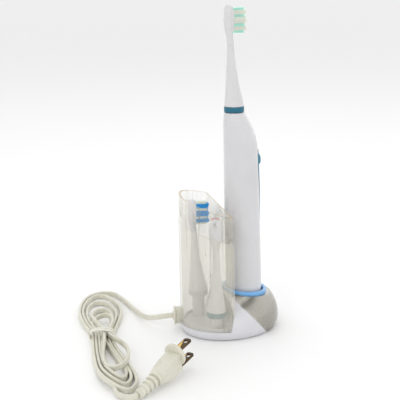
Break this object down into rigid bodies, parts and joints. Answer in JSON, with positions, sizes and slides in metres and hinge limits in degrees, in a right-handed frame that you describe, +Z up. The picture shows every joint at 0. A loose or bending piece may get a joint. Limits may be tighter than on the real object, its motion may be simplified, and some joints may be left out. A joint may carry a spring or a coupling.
{
  "type": "electric toothbrush on charger",
  "caption": "Electric toothbrush standing in an oval charging base, with an open clear holder for spare brush heads and a flat cord tied in a hank that ends in a two-blade plug.",
  "frame": {"origin": "middle of the charger's footprint, on the surface that it stands on", "axes": "+X is the front, where the bristles and the button face; -X is the side of the holder and the cord; +Z is up"},
  "size_m": [0.1665, 0.2163, 0.265],
  "materials": {
    "white_gloss": "gloss white moulded plastic",
    "silver_dome": "metallised silver plastic, glossy",
    "ring_blue": "light blue plastic ring",
    "inner_grey": "light grey moulded plastic",
    "ferrite": "matte ferrite",
    "copper": "enamelled copper wire",
    "board": "circuit board",
    "steel": "zinc plated steel",
    "rubber": "soft rubber",
    "cream_vinyl": "cream vinyl",
    "blade_brass": "dull brass",
    "clear_holder": "clear plastic, frosted below the lip",
    "grip_blue": "teal blue soft plastic",
    "battery_green": "shrink sleeve",
    "spring_gold": "plated spring contact",
    "bronze": "sintered bronze",
    "ring_teal": "teal ring",
    "ring_teal_pale": "teal ring",
    "ring_pale": "pale ring",
    "bristle_mint": "mint nylon bristles",
    "bristle_white": "white nylon bristles",
    "bristle_red": "red nylon bristles",
    "bristle_blue": "blue nylon bristles"
  },
  "bodies": {
    "charger": {"base_shell": "white_gloss", "dome_cover": "silver_dome", "socket_ring": "ring_blue", "socket_cup": "inner_grey", "charging_post": "white_gloss", "post_core": "ferrite", "primary_coil": "copper", "charger_board": "board", "base_floor": "white_gloss", "base_screws": "steel", "rubber_feet": "rubber", "head_pegs": "white_gloss", "cord_gland": "cream_vinyl", "cord_lead": "cream_vinyl", "cord_hank": "cream_vinyl", "cord_tie": "cream_vinyl", "cord_tail": "cream_vinyl", "plug_body": "cream_vinyl", "plug_blades": "blade_brass"},
    "holder": {"holder_cover": "clear_holder"},
    "handle": {"handle_shell": "white_gloss", "grip_panel": "grip_blue", "end_cap": "white_gloss", "end_cap_seal": "rubber", "charging_coil": "copper", "chassis": "inner_grey", "battery_cell": "battery_green", "battery_contacts": "spring_gold", "control_board": "board", "button_switch": "inner_grey", "motor_case": "steel", "motor_coil": "copper", "motor_bearings": "bronze", "shaft_seal": "rubber", "neck_collar": "white_gloss"},
    "button": {"power_button": "grip_blue"},
    "shaft": {"drive_shaft": "steel", "rotor_magnet": "ferrite"},
    "brush_head": {"head_stem": "white_gloss", "head_ring": "ring_teal", "head_bristles_mint": "bristle_mint", "head_bristles_white": "bristle_white"},
    "spare_head_a": {"spare_a_stem": "white_gloss", "spare_a_ring": "ring_teal_pale", "spare_a_bristles_red": "bristle_red", "spare_a_bristles_white": "bristle_white"},
    "spare_head_b": {"spare_b_stem": "white_gloss", "spare_b_ring": "ring_pale", "spare_b_bristles_blue": "bristle_blue", "spare_b_bristles_white": "bristle_white"}
  },
  "joints": [
    {"name": "handle_lift", "type": "slide", "parent": "charger", "child": "handle", "axis": [0, 0, 1], "range_m": [0, 0.11]},
    {"name": "holder_lift", "type": "slide", "parent": "charger", "child": "holder", "axis": [0, 0, 1], "range_m": [0, 0.105]},
    {"name": "spare_a_lift", "type": "slide", "parent": "charger", "child": "spare_head_a", "axis": [0, 0, 1], "range_m": [0, 0.1]},
    {"name": "spare_b_lift", "type": "slide", "parent": "charger", "child": "spare_head_b", "axis": [0, 0, 1], "range_m": [0, 0.1]},
    {"name": "button_press", "type": "slide", "parent": "handle", "child": "button", "axis": [-1, 0, 0], "range_m": [0, 0.0008], "stiffness_N_per_m": 1500},
    {"name": "shaft_swing", "type": "hinge", "parent": "handle", "child": "shaft", "pos_m": [0.0061, 0, 0.15], "axis": [0, 0, 1], "range_deg": [-5, 5], "stiffness_Nm_per_rad": 0.4},
    {"name": "head_pull", "type": "slide", "parent": "shaft", "child": "brush_head", "axis": [0, 0, 1], "range_m": [0, 0.03]}
  ]
}
